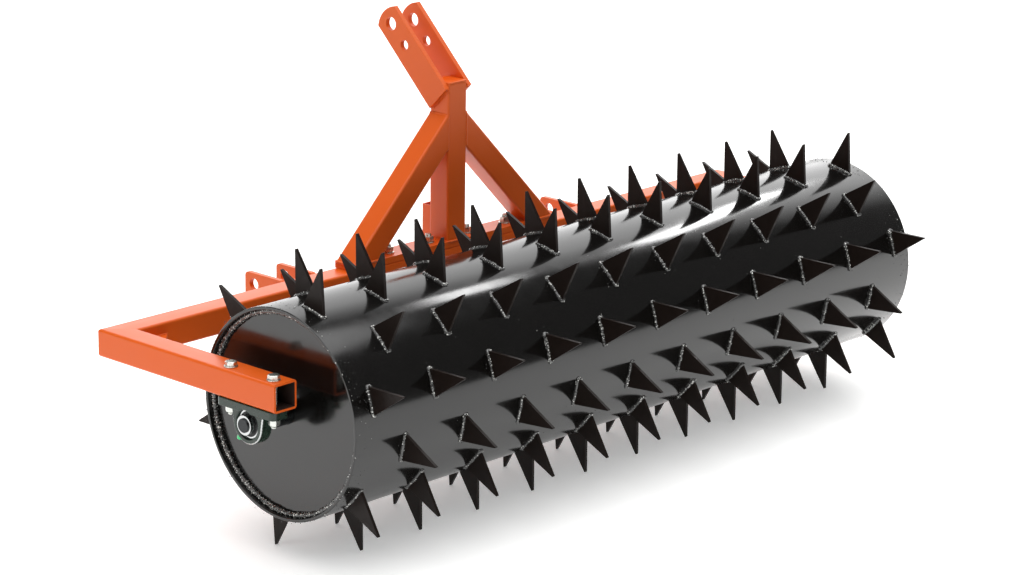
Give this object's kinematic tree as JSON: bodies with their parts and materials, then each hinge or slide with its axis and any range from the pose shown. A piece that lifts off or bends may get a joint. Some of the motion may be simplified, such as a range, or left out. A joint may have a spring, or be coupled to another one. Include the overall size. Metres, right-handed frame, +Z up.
{
  "type": "drum spike aerator",
  "caption": "Tractor-mounted lawn aerator: a spiked steel roller on pillow blocks in an open square-tube frame with a braced three-point hitch mast.",
  "frame": {"origin": "on the ground, under the middle of the machine's overall box", "axes": "+X along the drum to the right, +Y the direction of travel, +Z up"},
  "size_m": [1.6876, 0.7627, 0.7938],
  "materials": {
    "orange_powder_coat": "gloss orange powder coat",
    "black_paint": "gloss black paint",
    "zinc_plate": "bright zinc plate",
    "cast_housing": "grey-green painted casting",
    "bearing_steel": "ground bearing steel",
    "cage_steel": "pressed steel",
    "seal_rubber": "matt black rubber",
    "nipple_plate": "green passivated zinc",
    "black_oxide": "black oxide",
    "shaft_steel": "turned steel, oiled"
  },
  "bodies": {
    "frame": {"crossbar": "orange_powder_coat", "left_arm": "orange_powder_coat", "right_arm": "orange_powder_coat", "left_corner_gusset": "orange_powder_coat", "right_corner_gusset": "orange_powder_coat", "left_outer_hitch_ear": "orange_powder_coat", "left_inner_hitch_ear": "orange_powder_coat", "right_inner_hitch_ear": "orange_powder_coat", "right_outer_hitch_ear": "orange_powder_coat", "headstock_base_plate": "orange_powder_coat", "mast": "orange_powder_coat", "mast_cap": "orange_powder_coat", "left_brace": "orange_powder_coat", "right_brace": "orange_powder_coat", "left_top_link_strap": "orange_powder_coat", "right_top_link_strap": "orange_powder_coat", "stand_socket": "orange_powder_coat", "headstock_bolts": "zinc_plate", "headstock_washers": "zinc_plate", "headstock_nuts": "zinc_plate", "left_bearing_housing": "cast_housing", "right_bearing_housing": "cast_housing", "left_outer_race": "bearing_steel", "right_outer_race": "bearing_steel", "left_bearing_seals": "seal_rubber", "right_bearing_seals": "seal_rubber", "left_grease_nipple": "nipple_plate", "right_grease_nipple": "nipple_plate", "bearing_bolts": "zinc_plate", "bearing_washers": "zinc_plate", "bearing_nuts": "zinc_plate"},
    "drum": {"drum_shell": "black_paint", "left_end_disc": "black_paint", "right_end_disc": "black_paint", "left_inner_disc": "black_paint", "right_inner_disc": "black_paint", "left_stub_shaft": "shaft_steel", "right_stub_shaft": "shaft_steel", "left_inner_race": "bearing_steel", "right_inner_race": "bearing_steel", "left_set_screws": "black_oxide", "right_set_screws": "black_oxide", "spike_row_01": "black_paint", "spike_row_02": "black_paint", "spike_row_03": "black_paint", "spike_row_04": "black_paint", "spike_row_05": "black_paint", "spike_row_06": "black_paint", "spike_row_07": "black_paint", "spike_row_08": "black_paint", "spike_row_09": "black_paint", "spike_row_10": "black_paint", "spike_row_11": "black_paint", "spike_row_12": "black_paint"},
    "left_cage": {"left_ball_cage": "cage_steel", "left_ball_set": "bearing_steel"},
    "right_cage": {"right_ball_cage": "cage_steel", "right_ball_set": "bearing_steel"}
  },
  "joints": [
    {"name": "drum_spin", "type": "hinge", "parent": "frame", "child": "drum", "pos_m": [0, -0.12387, 0.25777], "axis": [1, 0, 0], "continuous": true},
    {"name": "left_cage_spin", "type": "hinge", "parent": "frame", "child": "left_cage", "pos_m": [0, -0.12387, 0.25777], "axis": [1, 0, 0], "continuous": true},
    {"name": "right_cage_spin", "type": "hinge", "parent": "frame", "child": "right_cage", "pos_m": [0, -0.12387, 0.25777], "axis": [1, 0, 0], "continuous": true}
  ],
  "couplings": [
    {"joint": "left_cage_spin", "follows": "drum_spin", "ratio": 0.3982},
    {"joint": "right_cage_spin", "follows": "drum_spin", "ratio": 0.3982}
  ]
}
